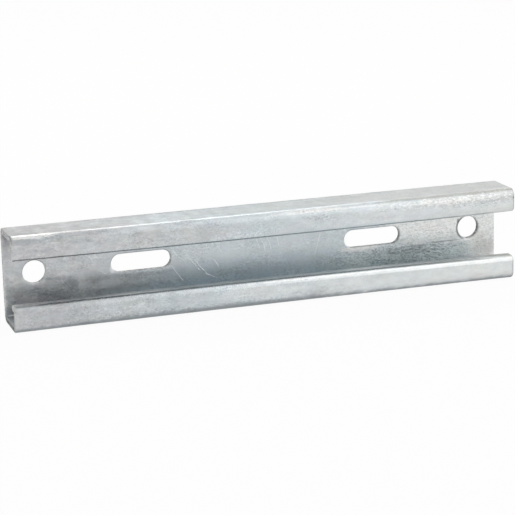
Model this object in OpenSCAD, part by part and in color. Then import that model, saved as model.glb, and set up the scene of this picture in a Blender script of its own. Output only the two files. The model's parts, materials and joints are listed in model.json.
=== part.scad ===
// Short length of strut channel: steel strip rolled to a C section with inturned lip edges,
// punched in the web with a round hole near each end and two slots between, then cut square.
// Millimetres. X runs along the channel, the open side faces -Y, and it stands on its lower flange.

/* [Section] */
// Height over the two flanges
section_h = 41; // [35:0.5:62]
// Depth from the lips' front to the back of the web
section_d = 23; // [18:0.5:60]
// Thickness of the strip
strip_t = 2.5; // [1.5:0.1:3]
// Clear opening between the two lips
mouth_h = 19; // [14:0.5:22]
// Depth of the inturned lip edges, from the lips' front
return_d = 6; // [5:0.25:9]
// Inside radius of the bends at the web and at the lips' outer corners
bend_r = 1; // [0.5:0.25:2.5]
// Inside radius of the bends where the lips turn in
lip_bend_r = 0.5; // [0.25:0.05:1]

/* [Length] */
// Length of the piece
channel_l = 225; // [190:1:1000]

/* [Round holes] */
// Diameter of the round hole near each end
hole_d = 10; // [6:0.5:14]
// Distance from each end to the centre of its round hole
hole_from_end = 13; // [10:0.5:25]

/* [Slots] */
// Width of the slots
slot_w = 8; // [6:0.5:14]
// Length of the slots, over their round ends
slot_l = 26.5; // [16:0.5:34]
// Distance from the centre of each round hole to the centre of the slot next to it
slot_from_hole = 46.5; // [28:0.5:70]

/* [Edges] */
// Width of the rounded-down rim that the punch leaves on the inside of the web
rim_w = 0.6; // [0.2:0.1:1]
// Radius of the slit edges that end the lips
slit_edge_r = 0.5; // [0.2:0.1:0.7]

/* [Hidden] */
$fn = 64;

// How far cuts run past the face that they break through
past = 1;

// The section is drawn as width by height: its front is at -section_d / 2, its foot at 0
front_y = -section_d / 2;
back_y = section_d / 2;
mid_z = section_h / 2;
outer_bend_r = bend_r + strip_t;
outer_lip_r = lip_bend_r + strip_t;
lip_h = (section_h - mouth_h) / 2;

hole_x = channel_l / 2 - hole_from_end;
slot_x = hole_x - slot_from_hole;
web_inside_y = back_y - strip_t;

// A quarter bend of the strip about the origin, in the corner towards -width, -height
module strip_bend(inside_r) {
    outside_r = inside_r + strip_t;
    difference() {
        intersection() {
            circle(r = outside_r);
            translate([-outside_r, -outside_r]) square(outside_r);
        }
        circle(r = inside_r);
    }
}

// A straight run of the strip with its slit edge, rounded on both corners, towards +width
module strip_edge(run) {
    square([run - slit_edge_r, strip_t]);
    translate([0, slit_edge_r]) square([run, strip_t - 2 * slit_edge_r]);
    for (corner_z = [slit_edge_r, strip_t - slit_edge_r])
        translate([run - slit_edge_r, corner_z]) circle(r = slit_edge_r);
}

// Lower half of the section: half the web, a flange, a lip and its inturned edge
module half_section() {
    // Half of the web
    translate([web_inside_y, outer_bend_r]) square([strip_t, mid_z - outer_bend_r]);
    // Bend from web to flange
    translate([back_y - outer_bend_r, outer_bend_r]) mirror([1, 0]) strip_bend(bend_r);
    // Flange
    translate([front_y + outer_bend_r, 0]) square([section_d - 2 * outer_bend_r, strip_t]);
    // Bend from flange to lip
    translate([front_y + outer_bend_r, outer_bend_r]) strip_bend(bend_r);
    // Lip
    translate([front_y, outer_bend_r]) square([strip_t, lip_h - outer_bend_r - outer_lip_r]);
    // Bend that turns the lip in
    translate([front_y + outer_lip_r, lip_h - outer_lip_r]) mirror([0, 1]) strip_bend(lip_bend_r);
    // Inturned edge
    translate([front_y + outer_lip_r, lip_h - strip_t]) strip_edge(return_d - outer_lip_r);
}

// Whole section, symmetrical about the middle of the web
module section() {
    half_section();
    translate([0, section_h]) mirror([0, 1]) half_section();
}

// The rolled strip, cut square at both ends
module rolled_length() {
    rotate([90, 0, 90])
        linear_extrude(height = channel_l, center = true) section();
}

// A punched hole through the web, with the rim that the punch draws down on the inside.
// Length equal to width gives a round hole.
module punched(width, length) {
    hole_r = width / 2;
    end_x = (length - width) / 2;
    depth = strip_t + 2 * past;
    for (side = length > width ? [-1, 1] : [0])
        translate([side * end_x, web_inside_y, mid_z]) rotate([-90, 0, 0]) {
            translate([0, 0, -past]) cylinder(r = hole_r, h = depth);
            translate([0, 0, -rim_w]) cylinder(r1 = hole_r + 2 * rim_w, r2 = hole_r, h = 2 * rim_w);
        }
    if (length > width) {
        translate([-end_x, web_inside_y - past, mid_z - hole_r]) cube([2 * end_x, depth, width]);
        translate([-end_x, web_inside_y, mid_z]) rotate([90, 0, 90])
            linear_extrude(height = 2 * end_x)
                polygon([
                    [-rim_w, -hole_r - 2 * rim_w],
                    [rim_w, -hole_r],
                    [rim_w, hole_r],
                    [-rim_w, hole_r + 2 * rim_w]
                ]);
    }
}

module channel() {
    color("silver")
        difference() {
            rolled_length();
            for (side = [-1, 1]) {
                translate([side * hole_x, 0, 0]) punched(hole_d, hole_d);
                translate([side * slot_x, 0, 0]) punched(slot_w, slot_l);
            }
        }
}

channel();
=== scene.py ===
"""A short length of galvanised strut channel that stands on its lower flange, open side to the front."""

import json
import math

import bpy
import numpy as np
from mathutils import Matrix, Vector, noise


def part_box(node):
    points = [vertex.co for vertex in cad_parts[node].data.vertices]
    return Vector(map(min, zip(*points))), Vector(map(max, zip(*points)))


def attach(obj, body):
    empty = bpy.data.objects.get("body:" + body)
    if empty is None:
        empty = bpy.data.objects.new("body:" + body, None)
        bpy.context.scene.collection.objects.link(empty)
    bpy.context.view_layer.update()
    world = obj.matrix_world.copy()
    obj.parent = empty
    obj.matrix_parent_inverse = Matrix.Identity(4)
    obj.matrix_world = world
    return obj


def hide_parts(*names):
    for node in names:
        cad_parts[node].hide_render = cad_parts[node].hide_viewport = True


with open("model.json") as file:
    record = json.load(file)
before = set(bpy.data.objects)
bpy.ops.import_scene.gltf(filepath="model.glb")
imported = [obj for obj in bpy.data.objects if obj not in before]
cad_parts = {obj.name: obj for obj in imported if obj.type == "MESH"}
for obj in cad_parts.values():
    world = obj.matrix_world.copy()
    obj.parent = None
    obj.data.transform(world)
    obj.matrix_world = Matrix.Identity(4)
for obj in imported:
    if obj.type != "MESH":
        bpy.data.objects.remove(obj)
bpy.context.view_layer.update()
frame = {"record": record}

# The strip
# The real piece starts as a coil of mild steel strip, slit to width with slightly rounded edges.
# It is bent sharply where the lips turn in, and more gently at the four corners.
# The overall sizes and the thickness come from the frame, and the mouth, returns and bends are set here.
MM = 0.001
mounts = {mount["name"]: mount for mount in frame["record"]["mounts"]}
low, high = [Vector(corner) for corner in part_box("channel")]
channel_l = high.x - low.x
section_d = high.y - low.y
section_h = high.z - low.z
strip_t = 2 * (high.y - mounts["end_holes"]["pos_m"][1])
mouth_h = 19 * MM
return_d = 6 * MM
corner_bend_r = 1 * MM
lip_bend_r = 0.1 * MM
slit_edge_r = 0.5 * MM

# The straight runs and the bends between them, from the upper lip's slit edge round to the lower one's
corner_r = corner_bend_r + strip_t
lip_r = lip_bend_r + strip_t
lip_h = (section_h - mouth_h) / 2
return_run = return_d - lip_r
lip_run = lip_h - lip_r - corner_r
flange_run = section_d - 2 * corner_r
web_run = section_h - 2 * corner_r
straight_runs = [return_run, lip_run, flange_run, web_run, flange_run, lip_run, return_run]
bend_radii = [lip_r, corner_r, corner_r, corner_r, corner_r, lip_r]
quarter = math.pi / 2


def stretches():
    """Each run and bend of the section in turn, and the width of the whole strip.

    A stretch has its start across the strip, its length, first point, heading and bend radius.
    """
    at = 0.0
    point = np.array([low.y + return_d, high.z - lip_h])
    heading = math.pi
    found = []
    for run, radius in zip(straight_runs, bend_radii + [None]):
        along = np.array([math.cos(heading), math.sin(heading)])
        found.append((at, run, point, heading, None))
        at += run
        point = point + run * along
        if radius is None:
            break
        inward = np.array([along[1], -along[0]])
        found.append((at, radius * quarter, point, heading, radius))
        at += radius * quarter
        point = point + radius * inward + radius * along
        heading -= quarter
    return found, at


strip_stretches, strip_w = stretches()
tolerance = 1e-9


def roll(across, depth):
    """Points of the rolled section for places across the flat strip, at a depth below its outer face."""
    y = np.zeros_like(across)
    z = np.zeros_like(across)
    for start, length, point, heading, radius in strip_stretches:
        here = (across >= start - tolerance) & (across <= start + length + tolerance)
        s = across[here] - start
        along = np.array([math.cos(heading), math.sin(heading)])
        inward = np.array([along[1], -along[0]])
        if radius is None:
            y[here] = point[0] + s * along[0] + depth[here] * inward[0]
            z[here] = point[1] + s * along[1] + depth[here] * inward[1]
        else:
            turn = s / radius
            reach = radius - depth[here]
            centre = point + radius * inward
            y[here] = centre[0] + reach * (np.sin(turn) * along[0] - np.cos(turn) * inward[0])
            z[here] = centre[1] + reach * (np.sin(turn) * along[1] - np.cos(turn) * inward[1])
    return y, z


# The punched web
# Before it is rolled the strip is punched: a round hole near each end and two slots between.
# The punch enters from the side that becomes the inside, so that rim is drawn down more.
hole_r = mounts["end_holes"]["dims"]["hole_r_mm"] * MM
hole_x = mounts["end_holes"]["dims"]["spacing_x_mm"] * MM / 2
slot_r = mounts["web_slots"]["dims"]["hole_r_mm"] * MM
slot_l = mounts["web_slots"]["dims"]["slot_length_mm"] * MM
slot_x = mounts["web_slots"]["dims"]["spacing_x_mm"] * MM / 2
punch_rim_r = 0.4 * MM
break_rim_r = 0.15 * MM
cut_edge_r = 0.35 * MM
punchings = [
    (-hole_x, hole_r, 0.0),
    (-slot_x, slot_r, slot_l / 2 - slot_r),
    (slot_x, slot_r, slot_l / 2 - slot_r),
    (hole_x, hole_r, 0.0),
]

# The grid of the flat strip, finer round the bends
cell = 1.1 * MM
bend_cells = 10
lines_across = [slit_edge_r]
for start, length, point, heading, radius in strip_stretches:
    first = max(start, slit_edge_r)
    last = min(start + length, strip_w - slit_edge_r)
    count = bend_cells if radius else max(2, round((last - first) / cell))
    lines_across += [first + (last - first) * step / count for step in range(1, count + 1)]
lines_across = np.array(lines_across)
end_line = channel_l / 2 - cut_edge_r
lines_along = np.linspace(-end_line, end_line, round(2 * end_line / cell) + 1)
count_across = len(lines_across)
count_along = len(lines_along)

places = [(x, s) for x in lines_along for s in lines_across]
faces = []
rims = []


def grid(i, j):
    """The number of the point on one line along and one line across."""
    return i * count_across + j


# Round each hole the grid is left out, and rings of faces close in on the rim from the edge of that gap
patch_margin = 4.2 * MM
patch_rings = 5
web_mid = strip_w / 2
punched_cells = set()
for centre_x, radius, half_straight in punchings:
    reach_x = half_straight + radius + patch_margin
    reach_s = radius + patch_margin
    i0 = int(np.argmin(abs(lines_along - (centre_x - reach_x))))
    i1 = int(np.argmin(abs(lines_along - (centre_x + reach_x))))
    j0 = int(np.argmin(abs(lines_across - (web_mid - reach_s))))
    j1 = int(np.argmin(abs(lines_across - (web_mid + reach_s))))
    punched_cells |= {(i, j) for i in range(i0, i1) for j in range(j0, j1)}
    edge = [grid(i, j0) for i in range(i0, i1)]
    edge += [grid(i1, j) for j in range(j0, j1)]
    edge += [grid(i, j1) for i in range(i1, i0, -1)]
    edge += [grid(i0, j) for j in range(j1, j0, -1)]
    ring = edge
    outward = []
    for step in range(1, patch_rings + 1):
        blend = step / patch_rings
        next_ring = []
        for index in edge:
            x, s = places[index]
            axis_x = min(max(x, centre_x - half_straight), centre_x + half_straight)
            away = Vector((x - axis_x, s - web_mid)).normalized()
            rim_x = axis_x + away.x * (radius + punch_rim_r)
            rim_s = web_mid + away.y * (radius + punch_rim_r)
            places.append((x + (rim_x - x) * blend, s + (rim_s - s) * blend))
            next_ring.append(len(places) - 1)
            if step == patch_rings:
                outward.append((-away.x * punch_rim_r, -away.y * punch_rim_r))
        for k in range(len(edge)):
            n = (k + 1) % len(edge)
            faces.append((ring[k], ring[n], next_ring[n], next_ring[k]))
        ring = next_ring
    rims.append((ring, outward, "punched"))

for i in range(count_along - 1):
    for j in range(count_across - 1):
        if (i, j) not in punched_cells:
            faces.append((grid(i, j), grid(i + 1, j), grid(i + 1, j + 1), grid(i, j + 1)))

# The strip's own border: a shear cuts its two ends, and slitting leaves its two long edges
last_i = count_along - 1
last_j = count_across - 1
border = [grid(i, 0) for i in range(last_i)]
border += [grid(last_i, j) for j in range(last_j)]
border += [grid(i, last_j) for i in range(last_i, 0, -1)]
border += [grid(0, j) for j in range(last_j, 0, -1)]
border_out = []
for index in border:
    i, j = divmod(index, count_across)
    step_x = cut_edge_r * ((i == last_i) - (i == 0))
    step_s = slit_edge_r * ((j == last_j) - (j == 0))
    border_out.append((step_x, step_s))
rims.append((border[::-1], border_out[::-1], "cut"))

# The rolled section
# Rolls bend the punched strip to the C section, and a shear cuts it to length.
# The two faces of the strip are joined round every hole and along every edge.
rim_steps = 4
quarter_arc = [quarter * step / rim_steps for step in range(rim_steps + 1)]


def rim_profile(outer_r, inner_r, widest):
    """Places round a rim from the outer face to the inner: how far out, as a share, and how deep."""
    turned = []
    back = []
    for turn in quarter_arc:
        out = 1 - math.sin(turn)
        down = 1 - math.cos(turn)
        turned.append((1 - outer_r / widest * out, outer_r * down))
        back.append((1 - inner_r / widest * out, strip_t - inner_r * down))
    wall = strip_t - outer_r - inner_r
    middle = [(1.0, outer_r + wall * share) for share in (1 / 3, 2 / 3)]
    return turned + middle + back[::-1]


profiles = {
    "punched": rim_profile(break_rim_r, punch_rim_r, punch_rim_r),
    "cut": rim_profile(cut_edge_r, cut_edge_r, cut_edge_r),
}

# Both faces of the flat strip, then the rims, whose straight walls are the cut faces
wall_orders = range(rim_steps + 1, rim_steps + 4)
on_the_face = 1e-6
flat_count = len(places)
flat = [(x, s, 0.0) for x, s in places] + [(x, s, strip_t) for x, s in places]
solid_faces = list(faces)
solid_faces += [tuple(index + flat_count for index in face[::-1]) for face in faces]
cut_faces = []
for ring, outward, kind in rims:
    previous = ring
    profile = profiles[kind]
    for order, (share, depth) in enumerate(profile):
        if order == 0 and share < on_the_face:
            continue
        if order == len(profile) - 1 and share < on_the_face:
            current = [index + flat_count for index in ring]
        else:
            current = []
            for index, (out_x, out_s) in zip(ring, outward):
                x, s = places[index]
                flat.append((x + out_x * share, s + out_s * share, depth))
                current.append(len(flat) - 1)
        for k in range(len(ring)):
            n = (k + 1) % len(ring)
            if order in wall_orders:
                cut_faces.append(len(solid_faces))
            solid_faces.append((previous[k], previous[n], current[n], current[k]))
        previous = current

flat = np.array(flat)
along = flat[:, 0]
across = flat[:, 1] - web_mid
depth = flat[:, 2]

# The zinc bath leaves a film of uneven thickness: long waves, lumps that grow towards the right half,
# and beads along the lower front bend. The two faces and the three kinds take their noise far apart.
film_room = 0.16 * MM
film_base = 0.4 * film_room
wave_length = 11 * MM
wave_height = 0.05 * MM
lump_length = 3.6 * MM
lump_height = 0.07 * MM
lumps_grow_over = 60 * MM
least_lumpy = 0.15
lumpy_outside = 0.3
bead_length = 3.0 * MM
bead_height = 0.06 * MM
bead_reach = 2.0 * MM
bead_floor = 0.2
bead_line = web_run / 2 + corner_r * quarter + flange_run + 0.6 * corner_r * quarter
inside_noise = 40.0
lump_noise = 7.0
bead_noise = 19.0
bead_row = 3.0


def film_at(x, s, inside):
    """How far the zinc stands out at a place on the strip, from 0 to the room left for it."""
    side = inside_noise * inside
    wave = noise.noise(Vector((x / wave_length, s / wave_length, side)))
    lump = noise.noise(Vector((x / lump_length, s / lump_length, side + lump_noise)))
    bead = noise.noise(Vector((x / bead_length, bead_row, side + bead_noise)))
    lumpy = min(1.0, max(least_lumpy, 0.5 + x / lumps_grow_over))
    lumpy *= lumpy_outside + (1 - lumpy_outside) * inside
    near_line = max(0.0, 1.0 - abs(s - bead_line) / bead_reach)
    film = film_base + wave * wave_height + lump * lump_height * lumpy
    film += max(0.0, bead - bead_floor) * bead_height * near_line * (1.0 - inside)
    return min(film_room, max(0.0, film))


film_out = np.array([film_at(x, s, 0.0) for x, s in zip(along, across)])
film_in = np.array([film_at(x, s, 1.0) for x, s in zip(along, across)])
inside_share = depth / strip_t
zinc_depth = depth + (film_room - film_out) * (1 - inside_share) + film_in * inside_share
y, z = roll(flat[:, 1], zinc_depth)

# Cut to length, the ends spring open a little, so the open side is closest together at the middle
pinch = 0.25 * MM
bow = 1 - (along / (channel_l / 2)) ** 2
openness = np.clip((high.y - strip_t - y) / (section_d - strip_t), 0, 1)
z = z - np.sign(z - (low.z + high.z) / 2) * pinch * bow * openness

# The rolls leave the lips a little wavy: how far each is up at its left end, middle and right end
upper_wander = (0.45 * MM, 0.12 * MM, 0.50 * MM)
lower_wander = (0.45 * MM, 0.36 * MM, -0.40 * MM)
front_bend_mid = web_run / 2 + corner_r * quarter + flange_run + corner_r * quarter / 2
lip_bend_end = front_bend_mid + corner_r * quarter / 2 + lip_run + lip_r * quarter
lip_share = np.clip((abs(across) - front_bend_mid) / (lip_bend_end - front_bend_mid), 0, 1)


def wander(ends):
    """How far a lip is up at each place along, on a curve through its left end, middle and right end."""
    left, middle, right = ends
    part = along / (channel_l / 2)
    return middle + (right - left) / 2 * part + ((right + left) / 2 - middle) * part ** 2


z = z + lip_share * np.where(across < 0, wander(upper_wander), wander(lower_wander))

# Every point keeps its place on the flat strip, in millimetres, which the coat's patterns follow
mesh = bpy.data.meshes.new("channel_rolled")
mesh.from_pydata(np.stack([along, y, z], axis=1).tolist(), [], solid_faces)
mesh.update()
mesh.validate()
mesh.polygons.foreach_set("use_smooth", [True] * len(mesh.polygons))
face_material = np.zeros(len(mesh.polygons), dtype=np.int32)
face_material[cut_faces] = 1
mesh.polygons.foreach_set("material_index", face_material)
strip_place = mesh.attributes.new("strip_place", "FLOAT_VECTOR", "POINT")
strip_place.data.foreach_set("vector", (np.stack([along, across, depth], axis=1) / MM).ravel())
channel = bpy.data.objects.new("channel_rolled", mesh)
bpy.context.collection.objects.link(channel)
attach(channel, "root")
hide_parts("channel")

# The zinc coat
# The finished piece is dipped in molten zinc, which sets as a pale, cloudy, slightly blue skin.
# It is matt and grainy where it drained slowly, and bright where it ran thin over the bends.
# Some strips on bends, rims and the channel floor carry painted light, and some inside corners and edges
# painted shade.


def add_node(tree, kind, settings=None, inputs=None):
    """A new node with its own settings, and its sockets given as numbers or as other nodes' outputs."""
    made = tree.nodes.new(kind)
    for name, value in (settings or {}).items():
        setattr(made, name, value)
    for key, value in (inputs or {}).items():
        if isinstance(value, bpy.types.NodeSocket):
            tree.links.new(value, made.inputs[key])
        else:
            made.inputs[key].default_value = value
    return made


def maths(tree, operation, first, second=0.0, third=0.0):
    """One sum on up to three numbers or sockets."""
    sockets = {0: first, 1: second, 2: third}
    return add_node(tree, "ShaderNodeMath", {"operation": operation}, sockets).outputs[0]


def vectors(tree, operation, first, second):
    """One sum on two places or colours."""
    made = add_node(tree, "ShaderNodeVectorMath", {"operation": operation}, {0: first, 1: second})
    return made.outputs["Value" if operation in ("LENGTH", "DOT_PRODUCT", "DISTANCE") else "Vector"]


def speckle(tree, place, per_mm, detail=2.0, harshness=0.5, warp=0.0):
    """A noise field about zero, from roughly -0.5 to 0.5."""
    sockets = {"Vector": place, "Scale": per_mm, "Detail": detail}
    sockets |= {"Roughness": harshness, "Distortion": warp}
    field = add_node(tree, "ShaderNodeTexNoise", None, sockets).outputs["Fac"]
    return maths(tree, "SUBTRACT", field, 0.5)


def eased(tree, value, low_in, high_in, low_out=0.0, high_out=1.0):
    """A smooth step from one output to another as the value goes between two levels."""
    sockets = {"Value": value, 1: low_in, 2: high_in, 3: low_out, 4: high_out}
    return add_node(tree, "ShaderNodeMapRange", {"interpolation_type": "SMOOTHSTEP"}, sockets).outputs[0]


def blended(tree, share, first, second):
    """The first colour, with a share of the second over it."""
    made = add_node(tree, "ShaderNodeMix", {"data_type": "RGBA"}, {0: share, 6: first, 7: second})
    return made.outputs[2]


def scaled(tree, colour, factor):
    """A colour or a place, multiplied by one factor."""
    made = add_node(tree, "ShaderNodeVectorMath", {"operation": "SCALE"}, {0: colour, "Scale": factor})
    return made.outputs["Vector"]


def new_group(name, inputs, outputs):
    """An empty shader group with named sockets, and the sockets of its two end nodes."""
    group = bpy.data.node_groups.new(name, "ShaderNodeTree")
    for label, kind in inputs:
        group.interface.new_socket(label, in_out="INPUT", socket_type="NodeSocket" + kind)
    for label, kind in outputs:
        group.interface.new_socket(label, in_out="OUTPUT", socket_type="NodeSocket" + kind)
    return group, group.nodes.new("NodeGroupInput").outputs, group.nodes.new("NodeGroupOutput").inputs


def use_group(tree, group, inputs):
    """The outputs of a group placed in a material with its own values."""
    return add_node(tree, "ShaderNodeGroup", {"node_tree": group}, inputs).outputs


# Clouds of lighter and darker zinc from a few centimetres down to a millimetre, drawn out along the strip
clouds, given, put = new_group(
    "zinc_clouds",
    [("Place", "Vector")],
    [("Tone", "Float"), ("Gloss", "Float")],
)
cloud_place = vectors(clouds, "MULTIPLY", given["Place"], (0.5, 1.0, 14.0))
clouds.links.new(speckle(clouds, cloud_place, 0.17, 4.0, 0.66, 0.6), put["Tone"])
gloss_place = vectors(clouds, "ADD", cloud_place, (70.0, 0.0, 0.0))
clouds.links.new(speckle(clouds, gloss_place, 0.12, 3.0, 0.55), put["Gloss"])

# Grain of the zinc crystals, from a millimetre down, drawn out a little along the strip
grains, given, put = new_group(
    "zinc_grain",
    [("Place", "Vector"), ("Per mm", "Float")],
    [("Grain", "Float")],
)
grain_place = vectors(grains, "MULTIPLY", given["Place"], (0.65, 1.0, 6.0))
grains.links.new(speckle(grains, grain_place, given["Per mm"], 2.0, 0.85), put["Grain"])

# A ragged patch: its centre on the strip, how far it reaches along, across and through,
# how torn its edge is, how fine it breaks up, and how thinly it is spread
patches, given, put = new_group(
    "ragged_patch",
    [
        ("Place", "Vector"),
        ("Centre", "Vector"),
        ("Reach", "Vector"),
        ("Raggedness", "Float"),
        ("Per mm", "Float"),
        ("Thinness", "Float"),
    ],
    [("Mask", "Float")],
)
from_centre = vectors(patches, "SUBTRACT", given["Place"], given["Centre"])
distance = vectors(patches, "LENGTH", vectors(patches, "DIVIDE", from_centre, given["Reach"]), (0, 0, 0))
drawn_out = vectors(patches, "MULTIPLY", given["Place"], (0.5, 1.0, 1.0))
torn = speckle(patches, drawn_out, given["Per mm"], 4.0, 0.75)
edge_at = maths(patches, "MULTIPLY_ADD", torn, given["Raggedness"], distance)
edge_at = maths(patches, "ADD", edge_at, given["Thinness"])
patches.links.new(eased(patches, edge_at, 1.15, 0.6), put["Mask"])


def patch(tree, place, centre, reach, raggedness, fineness, thinness=0.0):
    """The mask of one ragged patch in a material."""
    sockets = {"Place": place, "Centre": centre, "Reach": reach}
    sockets |= {"Raggedness": raggedness, "Per mm": fineness, "Thinness": thinness}
    return use_group(tree, patches, sockets)["Mask"]


# A thin raised wrinkle where the zinc drained: from one place on the strip to another, bowed to one side
wrinkles, given, put = new_group(
    "zinc_wrinkle",
    [("Place", "Vector"), ("Start", "Vector"), ("Run", "Vector"), ("Bow", "Vector"), ("Width", "Float")],
    [("Ridge", "Float")],
)
from_start = vectors(wrinkles, "SUBTRACT", given["Place"], given["Start"])
run_squared = vectors(wrinkles, "DOT_PRODUCT", given["Run"], given["Run"])
progress = vectors(wrinkles, "DOT_PRODUCT", from_start, given["Run"])
share_along = maths(wrinkles, "DIVIDE", progress, run_squared)
along_clamped = add_node(wrinkles, "ShaderNodeClamp", None, {0: share_along}).outputs[0]
rise = maths(wrinkles, "MULTIPLY", along_clamped, maths(wrinkles, "SUBTRACT", 1.0, along_clamped))
straight = scaled(wrinkles, given["Run"], along_clamped)
on_line = vectors(wrinkles, "ADD", straight, scaled(wrinkles, given["Bow"], rise))
gap = vectors(wrinkles, "DISTANCE", from_start, on_line)
near = maths(wrinkles, "SUBTRACT", 1.0, maths(wrinkles, "DIVIDE", gap, given["Width"]))
taper = eased(wrinkles, rise, 0.0, 0.16)
crest = maths(wrinkles, "MAXIMUM", near, 0.0)
wrinkles.links.new(maths(wrinkles, "MULTIPLY", crest, taper), put["Ridge"])

zinc = bpy.data.materials.new("zinc_coat")
zinc.use_nodes = True
tree = zinc.node_tree
shader = tree.nodes["Principled BSDF"]
place = add_node(tree, "ShaderNodeAttribute", {"attribute_name": "strip_place"}).outputs["Vector"]
along_mm, across_mm, depth_mm = add_node(tree, "ShaderNodeSeparateXYZ", None, {0: place}).outputs

# The place drawn out along the strip, with its two faces far apart. It stands before the clouds, which
# stretch it alike, so that the renderer merges the two and the long list of marks fits its memory.
drawn_place = vectors(tree, "MULTIPLY", place, (0.5, 1.0, 14.0))
cloud = use_group(tree, clouds, {"Place": place})
grain = use_group(tree, grains, {"Place": place, "Per mm": 1.25})["Grain"]

# The zinc is a duller grey at the left end, cool and bluish along the middle, and pale at the right
left_zinc = (0.65, 0.655, 0.665, 1)
middle_zinc = (0.69, 0.745, 0.77, 1)
right_zinc = (0.755, 0.775, 0.765, 1)
shifted = maths(tree, "MULTIPLY_ADD", cloud["Gloss"], 70.0, along_mm)
colour = blended(tree, eased(tree, shifted, -105.0, -25.0), left_zinc, middle_zinc)
colour = blended(tree, eased(tree, shifted, 45.0, 105.0), colour, right_zinc)

# The inside is a little paler, and the bends at the front are smoother, most of all where the lips turn in
inner = strip_t / MM
inside = maths(tree, "DIVIDE", depth_mm, inner)
inside_lift = 0.05
lip_bend_mid = lip_bend_end - lip_r * quarter / 2
bend_polishes = [(front_bend_mid / MM, 0.05), (lip_bend_mid / MM, 0.2)]
flange_mid = (web_run / 2 + corner_r * quarter + flange_run / 2) / MM
roughness = maths(tree, "MULTIPLY_ADD", cloud["Gloss"], 0.2, 0.41)
roughness = maths(tree, "MULTIPLY_ADD", grain, 0.25, roughness)
from_web = maths(tree, "ABSOLUTE", across_mm)
for bend_mid, bend_polish in bend_polishes:
    from_bend = maths(tree, "ABSOLUTE", maths(tree, "SUBTRACT", from_web, bend_mid))
    on_bend = eased(tree, from_bend, 3.2, 1.6)
    roughness = maths(tree, "MULTIPLY_ADD", on_bend, -bend_polish, roughness)
on_flange = eased(tree, maths(tree, "ABSOLUTE", maths(tree, "SUBTRACT", from_web, flange_mid)), 10.0, 7.5)

# Marks in the coat, some of them painted light and painted shade, in millimetres on the strip: centre,
# reach, raggedness, fineness, thinness, colour, the colour's share and the change of roughness
outer = 0.0
dark_zinc_and_painted_shade = (0.33, 0.36, 0.38)
dull_zinc = (0.50, 0.53, 0.55)
beige_zinc = (0.655, 0.655, 0.65)
pale_zinc_and_painted_light = (0.86, 0.885, 0.88)
white_zinc_and_painted_highlight = (0.96, 0.96, 0.94)
blue_zinc = (0.69, 0.75, 0.80)
flange_zinc = (0.665, 0.68, 0.675)
cool_flange_zinc = (0.62, 0.665, 0.68)
bend_zinc = (0.56, 0.56, 0.53)
web_left_zinc = (0.72, 0.745, 0.77)
painted_light_at_web_foot = (0.80, 0.90, 0.96)
web_middle_zinc = (0.66, 0.75, 0.81)
web_right_zinc = (0.88, 0.885, 0.865)
wormy_band_zinc = (0.64, 0.695, 0.705)
beside_band_zinc = (0.68, 0.75, 0.765)
band_top_zinc = (0.56, 0.61, 0.62)
web_end_zinc = (0.60, 0.595, 0.58)
painted_light_on_channel_floor = (0.86, 0.91, 0.93)
return_end_zinc = (0.45, 0.45, 0.42)
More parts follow.
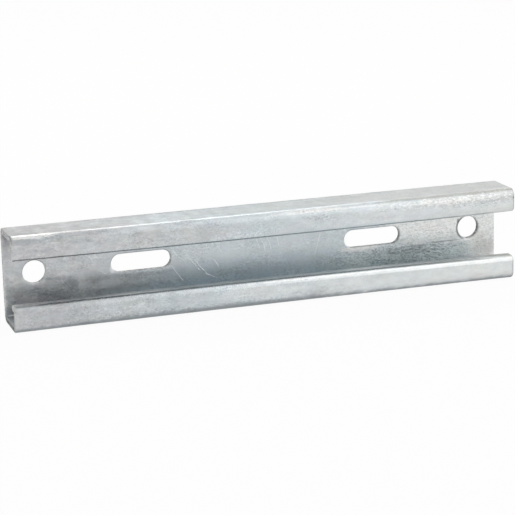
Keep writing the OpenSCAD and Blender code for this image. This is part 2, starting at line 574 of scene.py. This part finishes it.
marks_and_painted_light = [
    # Top flange
    ((70, -30, outer), (90, 10, 1.2), 1.0, 0.2, 0.0, flange_zinc, 0.8, 0.0),
    ((0, -30, outer), (40, 10, 1.2), 1.0, 0.2, 0.0, cool_flange_zinc, 0.5, 0.0),
    ((-106, -36, outer), (8, 3, 1.2), 2.6, 0.6, 0.2, dull_zinc, 0.6, 0.05),
    ((-80, -36, outer), (9, 3, 1.2), 2.6, 0.6, 0.3, dull_zinc, 0.5, 0.05),
    ((0, -22.8, outer), (140, 1.2, 1.2), 4.5, 0.35, 0.3, dull_zinc, 0.8, 0.05),
    # Upper bend, whose bright line comes and goes. The two white strips on it are painted highlight,
    # and duller, rougher patches break it
    ((-104, -40.4, outer), (11, 1.9, 1.2), 1.0, 0.5, 0.0, white_zinc_and_painted_highlight, 0.95, 0.0),
    ((-112.4, -39.5, outer), (0.8, 3.2, 1.2), 0.8, 0.8, 0.0, dark_zinc_and_painted_shade, 0.8, 0.1),
    ((-106.5, -42.9, outer), (6, 1.6, 1.2), 1.0, 0.8, 0.0, dull_zinc, 0.8, 0.05),
    ((-84, -41.0, outer), (20, 1.8, 1.2), 2.0, 0.5, 0.1, dull_zinc, 0.3, 0.12),
    ((-39, -41.0, outer), (5, 1.8, 1.2), 1.6, 0.6, 0.0, dull_zinc, 0.3, 0.12),
    ((16, -41.0, outer), (18, 1.3, 1.2), 1.6, 0.6, 0.0, white_zinc_and_painted_highlight, 0.6, 0.0),
    # Upper lip
    ((-98, -42.3, outer), (18, 1.4, 1.2), 3.2, 0.9, 0.2, dull_zinc, 0.8, 0.08),
    ((-99, -47.5, outer), (9, 1.6, 1.2), 4.0, 1.2, 0.5, dull_zinc, 0.7, 0.05),
    ((-84, -44.5, outer), (13, 2.6, 1.2), 4.0, 1.1, 0.5, dull_zinc, 0.6, 0.05),
    ((-60, -46.5, outer), (5, 3.6, 1.2), 1.6, 0.4, 0.2, dull_zinc, 0.4, 0.05),
    ((-44, -46.5, outer), (30, 5.0, 1.2), 2.4, 0.5, 0.1, beige_zinc, 0.6, 0.05),
    ((-29, -43, outer), (11, 2.0, 1.2), 4.6, 1.3, 0.6, dull_zinc, 0.8, 0.05),
    ((20, -44.5, outer), (9, 2.4, 1.2), 4.8, 1.5, 0.6, dull_zinc, 0.8, 0.05),
    ((51, -47.8, outer), (11, 1.8, 1.2), 4.6, 1.5, 0.5, dull_zinc, 0.8, 0.05),
    ((69, -46, outer), (14, 3, 1.2), 1.4, 0.3, 0.0, blue_zinc, 0.5, 0.0),
    ((75, -46, outer), (60, 5, 1.2), 1.4, 0.3, 0.0, pale_zinc_and_painted_light, 0.5, 0.0),
    ((38, -41.4, outer), (34, 0.7, 1.2), 4.0, 1.0, 0.3, white_zinc_and_painted_highlight, 0.7, 0.05),
    ((92, -43.2, outer), (32, 3.0, 1.2), 1.2, 0.4, 0.0, dull_zinc, 0.3, 0.0),
    ((82, -43.4, outer), (42, 2.8, 1.2), 8.0, 1.1, 0.6, white_zinc_and_painted_highlight, 0.95, 0.0),
    ((56, -44.2, outer), (12, 1.6, 1.2), 8.0, 1.6, 1.2, dark_zinc_and_painted_shade, 0.6, 0.0),
    ((97, -46, outer), (26, 2.6, 1.2), 8.0, 1.5, 1.0, dull_zinc, 0.8, 0.05),
    ((86, -39.9, outer), (44, 1.1, 1.2), 1.6, 0.6, 0.0, bend_zinc, 0.7, 0.2),
    ((112.5, -46, outer), (0.8, 9, 1.2), 0.5, 0.5, 0.0, dark_zinc_and_painted_shade, 0.5, 0.1),
    ((112.5, -44.5, outer), (0.9, 0.7, 1.2), 0.5, 0.5, 0.0, dark_zinc_and_painted_shade, 0.9, 0.1),
    # Along the upper lip's lower bend: the pale strip at the left is painted light on its shaded edge, and
    # the dark strip at the right is painted shade along that edge
    ((-98, -51.9, outer), (22, 1.2, 1.2), 3.0, 0.8, 0.1, pale_zinc_and_painted_light, 0.6, 0.1),
    ((94, -51.9, outer), (30, 1.0, 1.2), 0.8, 0.5, 0.0, dark_zinc_and_painted_shade, 0.7, 0.1),
    # Inside of the web
    ((-80, 3, inner), (44, 15, 1.0), 0.8, 0.3, 0.0, web_left_zinc, 0.35, 0.0),
    ((-92, 8.2, inner), (14, 4.0, 1.0), 3.0, 0.5, 0.1, dark_zinc_and_painted_shade, 0.12, 0.05),
    ((-99.5, 8.2, inner), (6, 1.3, 1.0), 2.6, 0.8, 0.0, dark_zinc_and_painted_shade, 0.5, 0.0),
    ((-92, 10, inner), (9, 1.6, 1.0), 2.6, 0.8, 0.0, dark_zinc_and_painted_shade, 0.4, 0.0),
    ((-90, 3.6, inner), (7, 1.0, 1.0), 3.0, 0.6, 0.1, dark_zinc_and_painted_shade, 0.4, 0.0),
    ((-95, 8.0, inner), (12, 2.8, 1.0), 6.0, 1.2, 0.8, pale_zinc_and_painted_light, 0.5, 0.0),
    ((-66.0, 1.6, inner), (1.0, 2.8, 1.0), 1.4, 0.8, 0.0, white_zinc_and_painted_highlight, 0.7, 0.0),
    ((-43.8, 8.4, inner), (3.0, 1.4, 1.0), 6.0, 1.6, 0.6, dark_zinc_and_painted_shade, 0.7, 0.0),
    ((-104, -2, inner), (7, 5, 1.0), 3.0, 0.4, 0.2, dull_zinc, 0.15, 0.0),
    ((-112.5, 0, inner), (3.2, 24, 1.0), 0.5, 0.8, 0.0, dull_zinc, 0.25, 0.05),
    ((-107, 8, inner), (8, 12, 1.0), 1.6, 0.6, 0.0, pale_zinc_and_painted_light, 0.2, 0.0),
    ((-105, 12.8, inner), (9, 3.0, 1.0), 2.4, 0.8, 0.0, pale_zinc_and_painted_light, 0.7, 0.0),
    ((-84, 2, inner), (6, 5, 1.0), 3.0, 0.4, 0.2, pale_zinc_and_painted_light, 0.35, 0.0),
    ((-84, 6.6, inner), (3.6, 3.0, 1.0), 2.4, 0.8, 0.1, dark_zinc_and_painted_shade, 0.5, 0.05),
    ((-79, 8, inner), (1.8, 6, 1.0), 1.6, 0.4, 0.0, pale_zinc_and_painted_light, 0.5, 0.0),
    ((-71.5, 6.6, inner), (4.6, 3.4, 1.0), 2.6, 0.6, 0.0, dark_zinc_and_painted_shade, 0.35, 0.05),
    ((-56, 5.6, inner), (19, 1.6, 1.0), 2.6, 0.7, 0.0, dark_zinc_and_painted_shade, 0.3, 0.05),
    ((-56, 8.6, inner), (22, 2.4, 1.0), 1.6, 0.5, 0.0, pale_zinc_and_painted_light, 0.6, 0.0),
    ((-58, 11.2, inner), (24, 2.0, 1.0), 2.0, 0.6, 0.0, dark_zinc_and_painted_shade, 0.25, 0.0),
    ((-56, 7.0, inner), (18, 3.2, 1.0), 6.0, 1.0, 0.8, dark_zinc_and_painted_shade, 0.35, 0.0),
    # Painted light: a pale blue strip over the shaded foot of the web, which lifts its dark lower part
    ((-8, 15.5, inner), (70, 6, 1.0), 0.6, 0.3, 0.0, painted_light_at_web_foot, 0.75, 0.0),
    ((-4, 8, inner), (52, 6, 1.0), 0.8, 0.3, 0.0, web_middle_zinc, 0.5, 0.0),
    ((78, -4, inner), (26, 9, 1.0), 1.8, 0.5, 0.1, web_right_zinc, 0.7, -0.08),
    ((88, -1, inner), (26, 7, 1.0), 7.0, 1.2, 0.7, white_zinc_and_painted_highlight, 0.4, 0.0),
    ((76, 11.8, inner), (27, 6.2, 1.0), 0.35, 0.5, 0.0, wormy_band_zinc, 0.9, -0.1),
    ((42, 12, inner), (20, 6.0, 1.0), 0.35, 0.5, 0.0, beside_band_zinc, 0.7, -0.05),
    # A painted highlight along the lower rim of the right-hand slot
    ((46.5, 4.5, inner), (9, 1.5, 1.0), 1.2, 0.8, 0.0, white_zinc_and_painted_highlight, 0.8, 0.0),
    ((50, 7.2, inner), (2.6, 1.0, 1.0), 6.0, 1.4, 0.5, dark_zinc_and_painted_shade, 0.6, 0.0),
    ((77, 7.6, inner), (24, 2.0, 1.0), 0.45, 0.6, 0.0, band_top_zinc, 0.8, -0.1),
    ((74, 15.5, inner), (40, 3.5, 1.0), 0.8, 0.6, 0.0, dark_zinc_and_painted_shade, 0.15, 0.0),
    ((96, 15.5, inner), (13, 3.5, 1.0), 1.0, 0.6, 0.0, dark_zinc_and_painted_shade, 0.35, 0.0),
    ((73, 6.1, inner), (10, 0.45, 1.0), 0.9, 0.8, 0.0, dark_zinc_and_painted_shade, 0.6, 0.0),
    ((87, 5.3, inner), (10, 0.45, 1.0), 0.9, 0.8, 0.0, dark_zinc_and_painted_shade, 0.6, 0.0),
    ((107, -5, inner), (7, 10, 1.0), 2.4, 0.5, 0.2, pale_zinc_and_painted_light, 0.5, 0.05),
    ((107.5, 11, inner), (7, 7, 1.0), 4.0, 0.8, 0.1, web_end_zinc, 0.8, 0.05),
    ((94.5, -3.3, inner), (0.7, 1.3, 1.0), 0.8, 0.8, 0.0, dark_zinc_and_painted_shade, 0.9, 0.1),
    # A painted highlight along the lower rim of the right-hand hole
    ((98.6, 5.6, inner), (3.4, 0.5, 1.0), 0.6, 0.8, 0.0, white_zinc_and_painted_highlight, 0.8, 0.0),
    # Inside of the flanges: painted light over the lower one, which the web mirrors, and painted shade
    # in the corners at the left end, with a small painted highlight on the lower inner bend there
    ((50, 34, inner), (120, 20, 1.0), 0.6, 0.2, 0.0, painted_light_on_channel_floor, 0.9, 0.0),
    ((-112, 32, inner), (9, 22, 1.0), 2.4, 0.7, 0.0, dark_zinc_and_painted_shade, 0.6, 0.15),
    ((-110.4, 20.5, inner), (1.8, 1.4, 1.0), 0.4, 0.7, 0.0, white_zinc_and_painted_highlight, 0.9, 0.0),
    ((-112, -21, inner), (5, 6, 1.0), 1.6, 0.5, 0.0, dark_zinc_and_painted_shade, 0.4, 0.1),
    ((-111.5, -36, inner), (3.5, 6, 1.0), 1.0, 0.5, 0.0, dark_zinc_and_painted_shade, 0.8, 0.1),
    # Lower lip, with its dark foot: partly dirt, and partly painted shade where the lower bend faces the
    # floor by the piece
    ((0, 40.2, outer), (170, 3.0, 1.2), 1.2, 0.8, -0.1, dark_zinc_and_painted_shade, 0.8, 0.05),
    ((0, 40.7, outer), (170, 1.7, 1.2), 1.2, 0.8, 0.0, dark_zinc_and_painted_shade, 0.6, 0.05),
    ((-60, 43.4, outer), (66, 2.2, 1.2), 6.0, 1.2, 0.8, dark_zinc_and_painted_shade, 0.5, 0.05),
    ((-92, 46, outer), (24, 5, 1.2), 3.6, 1.0, 0.3, dull_zinc, 0.5, 0.05),
    ((-50, 49.6, outer), (14, 2.2, 1.2), 2.0, 0.8, 0.0, dull_zinc, 0.35, 0.05),
    # A painted highlight along the lower lip's upper bend
    ((24, 50.9, outer), (42, 0.9, 1.2), 1.4, 0.6, 0.0, white_zinc_and_painted_highlight, 0.6, 0.0),
    ((34, 48.6, outer), (54, 1.2, 1.2), 1.0, 0.5, 0.0, dull_zinc, 0.3, 0.0),
    ((23, 44.2, outer), (20, 2.8, 1.2), 3.6, 0.9, 0.3, dark_zinc_and_painted_shade, 0.5, 0.05),
    ((60, 47, outer), (70, 6, 1.2), 1.4, 0.4, 0.0, pale_zinc_and_painted_light, 0.65, 0.0),
    ((-11, 47, outer), (15, 3.2, 1.2), 1.2, 0.3, 0.0, pale_zinc_and_painted_light, 0.5, 0.0),
    ((112.5, 46, outer), (0.8, 9, 1.2), 0.5, 0.5, 0.0, dark_zinc_and_painted_shade, 0.5, 0.1),
    # Top of the lower lip's return: the two dark strips are painted shade, where it mirrors the dark
    # inside, and over its slit edge, and the white strip is painted light on its front part
    ((-28, 55.4, outer), (62, 2.4, 1.2), 1.0, 0.5, 0.0, dark_zinc_and_painted_shade, 0.15, 0.1),
    ((-5, 53.0, outer), (85, 1.7, 1.2), 1.0, 0.5, 0.0, white_zinc_and_painted_highlight, 0.5, 0.1),
    ((-98, 50.8, outer), (20, 2.4, 1.2), 2.4, 0.8, 0.0, dull_zinc, 0.4, 0.1),
    ((-95, 55.6, outer), (34, 1.8, 1.6), 1.0, 0.8, 0.0, dark_zinc_and_painted_shade, 0.35, 0.1),
    ((-109, 53.2, outer), (8, 3.4, 1.2), 1.2, 0.6, 0.0, pale_zinc_and_painted_light, 0.35, 0.2),
    ((-45, 52.6, outer), (90, 2.6, 1.2), 6.0, 1.2, 0.8, pale_zinc_and_painted_light, 0.8, 0.1),
    ((100, 54.8, outer), (40, 2.6, 1.2), 1.2, 0.5, 0.0, dull_zinc, 0.5, 0.1),
    ((110, 54.2, outer), (10, 3.0, 1.2), 1.2, 0.5, 0.0, return_end_zinc, 0.7, 0.1),
]
for centre, reach, raggedness, fineness, thinness, mark_colour, mark_share, rougher in marks_and_painted_light:
    mask = patch(tree, place, centre, reach, raggedness, fineness, thinness)
    colour = blended(tree, maths(tree, "MULTIPLY", mask, mark_share), colour, (*mark_colour, 1))
    roughness = maths(tree, "MULTIPLY_ADD", mask, rougher, roughness)

# A dark line at the near side of the right-hand hole
near_rim_line_colour = (0.24, 0.26, 0.27, 1)
from_hole = vectors(tree, "DISTANCE", place, (hole_x / MM, 0.0, inner))
on_rim = maths(tree, "ABSOLUTE", maths(tree, "SUBTRACT", from_hole, (hole_r + punch_rim_r) / MM))
near_side = eased(tree, along_mm, (hole_x - 0.2 * hole_r) / MM, (hole_x - 0.8 * hole_r) / MM)
punch_line = maths(tree, "MULTIPLY", eased(tree, on_rim, 0.75, 0.4), near_side)
colour = blended(tree, maths(tree, "MULTIPLY", punch_line, 0.9), colour, near_rim_line_colour)

# Drain wrinkles on the inside of the web: start, run and bow on the strip in millimetres, and how clear
wrinkle_w = 0.25
wrinkle_lines = [
    ((-92, 3.6), (3, 2), (0, 0), 0.35),
    ((-88.5, 3.4), (3, 5), (-1, 0), 0.5),
    ((-86.5, 5), (3, 4), (0, 0), 0.35),
    ((-75.5, -4.4), (7.5, 9), (-4, 2), 0.9),
    ((-39, -3.4), (5.4, 5.6), (-2, 1), 0.7),
    ((-40, 3.4), (6, 8), (-1, 0), 1.0),
    ((-32, 0.4), (6, 7.4), (-1, 1), 1.0),
    ((-29.9, 1.2), (6.2, 7.4), (-1, 1), 0.8),
    ((-25, 8), (6, 3), (-1, 1), 0.7),
    ((-21.4, 1.8), (3.4, 6), (1, -1), 0.7),
    ((-19.4, -4.4), (2.2, 4.4), (0, 0), 0.6),
    ((-24, -4.6), (0.6, 3), (0, 0), 0.4),
    ((-1.4, -5), (1.6, 5), (0, 0), 0.7),
    ((0.6, -5), (2, 7), (2, 0), 0.7),
    ((3.6, -5), (1.8, 6), (1, 0), 0.8),
    ((8.4, -5), (0.6, 5), (0, 0), 0.4),
    ((28.4, -5), (-3, 11), (1, 0), 0.6),
]
wobble_noise = {"Vector": place, "Scale": 0.5, "Detail": 2.0}
wobble = add_node(tree, "ShaderNodeTexNoise", None, wobble_noise).outputs["Color"]
wobbly_place = vectors(tree, "ADD", place, vectors(tree, "SUBTRACT", wobble, (0.5, 0.5, 0.5)))
ridge = None
for (start_x, start_s), (run_x, run_s), (bow_x, bow_s), clearness in wrinkle_lines:
    line = use_group(tree, wrinkles, {
        "Place": wobbly_place,
        "Start": (start_x, start_s, inner),
        "Run": (run_x, run_s, 0),
        "Bow": (bow_x, bow_s, 0),
        "Width": wrinkle_w,
    })["Ridge"]
    line = maths(tree, "MULTIPLY", line, clearness)
    ridge = line if ridge is None else maths(tree, "MAXIMUM", ridge, line)

# The grain comes and goes in patches, and is calm on the right half of the lips
patchy = eased(tree, speckle(tree, drawn_place, 0.11, 2.0, 0.6), -0.12, 0.14, 0.35, 1.5)
calm_below = patch(tree, place, (74, 49, outer), (72, 11, 1.5), 0.6, 0.2)
calm_above = patch(tree, place, (66, -48.6, outer), (56, 4.2, 1.5), 0.6, 0.2)
calm = maths(tree, "MAXIMUM", calm_below, calm_above)
graininess = maths(tree, "MULTIPLY", patchy, maths(tree, "MULTIPLY_ADD", on_flange, -0.35, 1.0))
graininess = maths(tree, "MULTIPLY", graininess, maths(tree, "MULTIPLY_ADD", calm, -0.8, 1.0))

# Mottle is strongest at the left, the inside is smoother to the right of that, and the flanges are blotchy
at_left = eased(tree, along_mm, -10.0, -60.0)
mottle = speckle(tree, drawn_place, 0.42, 2.0, 0.6)
mottle = maths(tree, "MULTIPLY", mottle, maths(tree, "MULTIPLY_ADD", at_left, 1.6, 1.0))
smooth_inside = maths(tree, "MULTIPLY", inside, eased(tree, along_mm, -60.0, -30.0))
cloudiness = maths(tree, "MULTIPLY_ADD", smooth_inside, -0.5, 1.0)
blotches = speckle(tree, vectors(tree, "MULTIPLY", place, (1.0, 0.4, 14.0)), 0.2, 3.0, 0.6)
blotchiness = maths(tree, "MULTIPLY", on_flange, eased(tree, along_mm, 30.0, -40.0, 0.2, 1.0))

# Inside, streaks run down the web, and wormy lines cover its right half, clearest below the slot
streaks = speckle(tree, vectors(tree, "MULTIPLY", place, (0.22, 0.02, 1.0)), 1.0, 3.0, 0.6)
wormy_place = vectors(tree, "MULTIPLY", place, (0.5, 1.0, 6.0))
worms = maths(tree, "ABSOLUTE", speckle(tree, wormy_place, 1.05, 1.0, 0.5, 0.8))
worminess = maths(tree, "MULTIPLY", inside, eased(tree, along_mm, 5.0, 50.0, 0.05, 1.0))
worm_light = maths(tree, "MAXIMUM", maths(tree, "SUBTRACT", 0.08, worms), -0.05)
worm_light = maths(tree, "MULTIPLY", worm_light, worminess)
wriggly = patch(tree, place, (64, 8.5, inner), (38, 5.0, 1.0), 1.0, 0.3)
worm_light = maths(tree, "MULTIPLY", worm_light, maths(tree, "MULTIPLY_ADD", wriggly, 1.6, 0.6))

# How much each of these lightens or darkens the coat
grain_tone = 0.80
cloud_tone = 0.36
mottle_tone = 0.22
blotch_tone = 0.60
streak_tone = 0.22
# The wrinkles are raised, and the lightening along their crests is a painted highlight
wrinkle_highlight_tone = 1.0
worm_tone = 1.7
lift = maths(tree, "MULTIPLY_ADD", inside, inside_lift, 1.0)
lift = maths(tree, "MULTIPLY_ADD", maths(tree, "MULTIPLY", cloud["Tone"], cloudiness), cloud_tone, lift)
lift = maths(tree, "MULTIPLY_ADD", maths(tree, "MULTIPLY", mottle, cloudiness), mottle_tone, lift)
lift = maths(tree, "MULTIPLY_ADD", maths(tree, "MULTIPLY", grain, graininess), grain_tone, lift)
lift = maths(tree, "MULTIPLY_ADD", maths(tree, "MULTIPLY", blotches, blotchiness), blotch_tone, lift)
lift = maths(tree, "MULTIPLY_ADD", maths(tree, "MULTIPLY", streaks, inside), streak_tone, lift)
lift = maths(tree, "MULTIPLY_ADD", ridge, wrinkle_highlight_tone, lift)
lift = maths(tree, "MULTIPLY_ADD", worm_light, worm_tone, lift)

# Faint drifts of tint, warm to cool and pink to green, and no zinc quite as bright as a mirror
brightest_zinc = (0.98, 0.98, 0.98)
tints = [((0.07, 0.0, -0.07), (0.0, 0.0, 30.0)), ((0.03, -0.05, 0.03), (0.0, 0.0, 60.0))]
for tint, shift in tints:
    tinting = speckle(tree, vectors(tree, "ADD", drawn_place, shift), 0.2, 2.0, 0.6)
    factor = vectors(tree, "ADD", scaled(tree, tint, tinting), (1.0, 1.0, 1.0))
    colour = vectors(tree, "MULTIPLY", colour, factor)
colour = vectors(tree, "MINIMUM", scaled(tree, colour, lift), brightest_zinc)
tree.links.new(colour, shader.inputs["Base Color"])
tree.links.new(roughness, shader.inputs["Roughness"])
shader.inputs["Metallic"].default_value = 1.0

# Relief finer than the mesh, in millimetres: worms inside the right half, grain all over, and the wrinkles
worm_relief = 0.25
grain_relief = 0.03
calm_grain_relief = 0.01
wrinkle_relief = 0.14
worm_height = maths(tree, "MULTIPLY", worms, maths(tree, "MULTIPLY", worminess, worm_relief))
grain_height = maths(tree, "MULTIPLY_ADD", calm, calm_grain_relief - grain_relief, grain_relief)
height = maths(tree, "MULTIPLY_ADD", grain, grain_height, worm_height)
height = maths(tree, "MULTIPLY_ADD", ridge, wrinkle_relief, height)
relief = add_node(tree, "ShaderNodeBump", None, {"Strength": 1.0, "Distance": MM, "Height": height})
tree.links.new(relief.outputs["Normal"], shader.inputs["Normal"])
mesh.materials.append(zinc)

# The cut edges
# The ends, the slit edges and the punched walls are sheared steel, coated after cutting.
# The zinc there is thin, rough and darker, with specks of soot on the flanges' ends.
cut = bpy.data.materials.new("zinc_on_cut_edges")
cut.use_nodes = True
tree = cut.node_tree
shader = tree.nodes["Principled BSDF"]
place = add_node(tree, "ShaderNodeAttribute", {"attribute_name": "strip_place"}).outputs["Vector"]
cut_cloud_place = vectors(tree, "MULTIPLY", place, (2.0, 2.0, 0.2))
cloud = use_group(tree, clouds, {"Place": cut_cloud_place})
cut_grain_place = vectors(tree, "MULTIPLY", place, (1.0, 1.0, 0.2))
grain = use_group(tree, grains, {"Place": cut_grain_place, "Per mm": 1.2})["Grain"]
pale_cut = (0.71, 0.72, 0.72, 1)
dark_cut = (0.10, 0.105, 0.11, 1)
along_mm, across_mm = add_node(tree, "ShaderNodeSeparateXYZ", None, {0: place}).outputs[:2]

# Darkness in clouds and grain, most of it on the lower flange's ends and least on the lips'
from_web = maths(tree, "ABSOLUTE", across_mm)
flange_ends_mid = 30.0
from_flange = maths(tree, "ABSOLUTE", maths(tree, "SUBTRACT", from_web, flange_ends_mid))
on_flange = eased(tree, from_flange, 13.0, 9.0)
off_lip = eased(tree, from_web, 42.0, 38.0, 0.55, 1.0)
speckled = maths(tree, "MULTIPLY_ADD", grain, 2.2, cloud["Tone"])
dark_share = eased(tree, speckled, -0.25, 0.15, 0.8, 0.0)
below = eased(tree, across_mm, -5.0, 5.0, -0.2, 0.55)
dark_share = maths(tree, "MULTIPLY_ADD", on_flange, below, dark_share)

# The walls of the holes are darker too, towards the right
end_at = channel_l / 2 / MM
in_hole = eased(tree, maths(tree, "ABSOLUTE", along_mm), end_at - 1.0, end_at - 2.5)
in_hole = maths(tree, "MULTIPLY", in_hole, eased(tree, along_mm, -70.0, 40.0))
in_hole = maths(tree, "MULTIPLY", in_hole, eased(tree, from_web, 12.0, 10.0))
dark_share = maths(tree, "MULTIPLY_ADD", in_hole, 0.3, dark_share)
dark_share = maths(tree, "MULTIPLY", dark_share, off_lip)

# The specks of soot
specks = speckle(tree, vectors(tree, "MULTIPLY", place, (0.1, 0.35, 0.9)), 1.0, 2.0, 0.6)
speck_share = maths(tree, "MULTIPLY", eased(tree, specks, 0.03, 0.15, 0.0, 0.75), on_flange)
dark_share = maths(tree, "MAXIMUM", dark_share, speck_share)
tree.links.new(blended(tree, dark_share, pale_cut, dark_cut), shader.inputs["Base Color"])
shader.inputs["Roughness"].default_value = 0.6
shader.inputs["Metallic"].default_value = 0.6
cut_relief = 0.12 * MM
relief = add_node(tree, "ShaderNodeBump", None, {"Strength": 1.0, "Distance": cut_relief, "Height": grain})
tree.links.new(relief.outputs["Normal"], shader.inputs["Normal"])
mesh.materials.append(cut)

# The floor
# The piece stands on a sheet of plain white paper, far wider than the picture.
# It looks white and keeps a soft shadow, and the zinc mirrors it a little greyer.
floor_half = 4.0
seen_glow = 0.95
mirrored_glow = 0.8
mirrored_level = 0.84
floor_mesh = bpy.data.meshes.new("floor")
corners = [(-1, -1), (1, -1), (1, 1), (-1, 1)]
floor_mesh.from_pydata([(x * floor_half, y * floor_half, 0) for x, y in corners], [], [(0, 1, 2, 3)])
floor = bpy.data.objects.new("floor", floor_mesh)
bpy.context.collection.objects.link(floor)
paper = bpy.data.materials.new("floor_paper")
paper.use_nodes = True
tree = paper.node_tree
tree.nodes.clear()
path = add_node(tree, "ShaderNodeLightPath")
seen = maths(tree, "MULTIPLY", path.outputs["Is Camera Ray"], seen_glow)
mirrored = maths(tree, "MULTIPLY", path.outputs["Is Glossy Ray"], mirrored_glow)
looked_through = maths(tree, "MULTIPLY", path.outputs["Is Transmission Ray"], mirrored_glow)
glow_share = maths(tree, "MAXIMUM", maths(tree, "MAXIMUM", seen, mirrored), looked_through)
matt = add_node(tree, "ShaderNodeBsdfDiffuse", None, {"Color": (0.9, 0.9, 0.9, 1)})
glow_level = maths(tree, "MULTIPLY_ADD", path.outputs["Is Camera Ray"], 1 - mirrored_level, mirrored_level)
glow = add_node(tree, "ShaderNodeEmission", None, {"Strength": glow_level})
mix = add_node(tree, "ShaderNodeMixShader", None, {0: glow_share, 1: matt.outputs[0], 2: glow.outputs[0]})
add_node(tree, "ShaderNodeOutputMaterial", None, {"Surface": mix.outputs[0]})
floor_mesh.materials.append(paper)

# The light
# The piece stands in a white studio tent: even light from all round, more of it from the right-hand wall.
# A long, faintly warm soft box high behind draws the bright line along the upper bend,
# and a dim one high in front on the right lifts that end.
tent_level = 0.55
right_wall_level = 2.2
brightest_level = 1.2
right_wall = Vector((1.0, -0.15, 0.1)).normalized()
world = bpy.data.worlds.new("studio")
bpy.context.scene.world = world
world.use_nodes = True
tree = world.node_tree
sky = tree.nodes["Background"]
sky.inputs["Color"].default_value = (1, 1, 1, 1)
looking = add_node(tree, "ShaderNodeTexCoord").outputs["Generated"]
to_the_right = maths(tree, "MAXIMUM", vectors(tree, "DOT_PRODUCT", looking, right_wall), 0.0)
level = maths(tree, "MULTIPLY_ADD", maths(tree, "POWER", to_the_right, 2.0), right_wall_level, tent_level)
level = maths(tree, "MINIMUM", level, brightest_level)
tree.links.new(level, sky.inputs["Strength"])


def soft_lamp(name, place, aim, width, height, watts, tone):
    """A rectangular soft box at a place, turned to what it is aimed at."""
    data = bpy.data.lights.new(name, "AREA")
    data.color = tone
    data.shape = "RECTANGLE"
    data.size = width
    data.size_y = height
    data.energy = watts
    lamp = bpy.data.objects.new(name, data)
    lamp.location = place
    lamp.rotation_euler = (Vector(aim) - Vector(place)).to_track_quat("-Z", "Y").to_euler()
    bpy.context.collection.objects.link(lamp)


warm_white = (1.0, 0.98, 0.93)
white = (1.0, 1.0, 1.0)
soft_lamp("behind_high", (-0.03, 0.72, 0.76), (-0.03, 0, 0.02), 0.92, 0.26, 1.7, warm_white)
soft_lamp("front_high", (0.84, -0.55, 0.97), (0.84, 0, 0.02), 0.9, 0.10, 0.23, white)

# The camera
# A long lens stands 0.8 m in front, to the left and a little above, and is tilted slightly.
azimuth = math.radians(-18.18)
elevation = math.radians(14.15)
tilt = math.radians(-1.41)
stands_at = (-0.25065, -0.7519, 0.21856)
camera_data = bpy.data.cameras.new("camera")
camera_data.sensor_width = 36
camera_data.lens = 132.5
camera = bpy.data.objects.new("camera", camera_data)
stand = Matrix.Translation(stands_at)
swing = Matrix.Rotation(azimuth, 4, "Z") @ Matrix.Rotation(math.pi / 2 - elevation, 4, "X")
camera.matrix_world = stand @ swing @ Matrix.Rotation(tilt, 4, "Z")
bpy.context.collection.objects.link(camera)
bpy.context.scene.camera = camera

bpy.context.scene.view_settings.view_transform = "Standard"
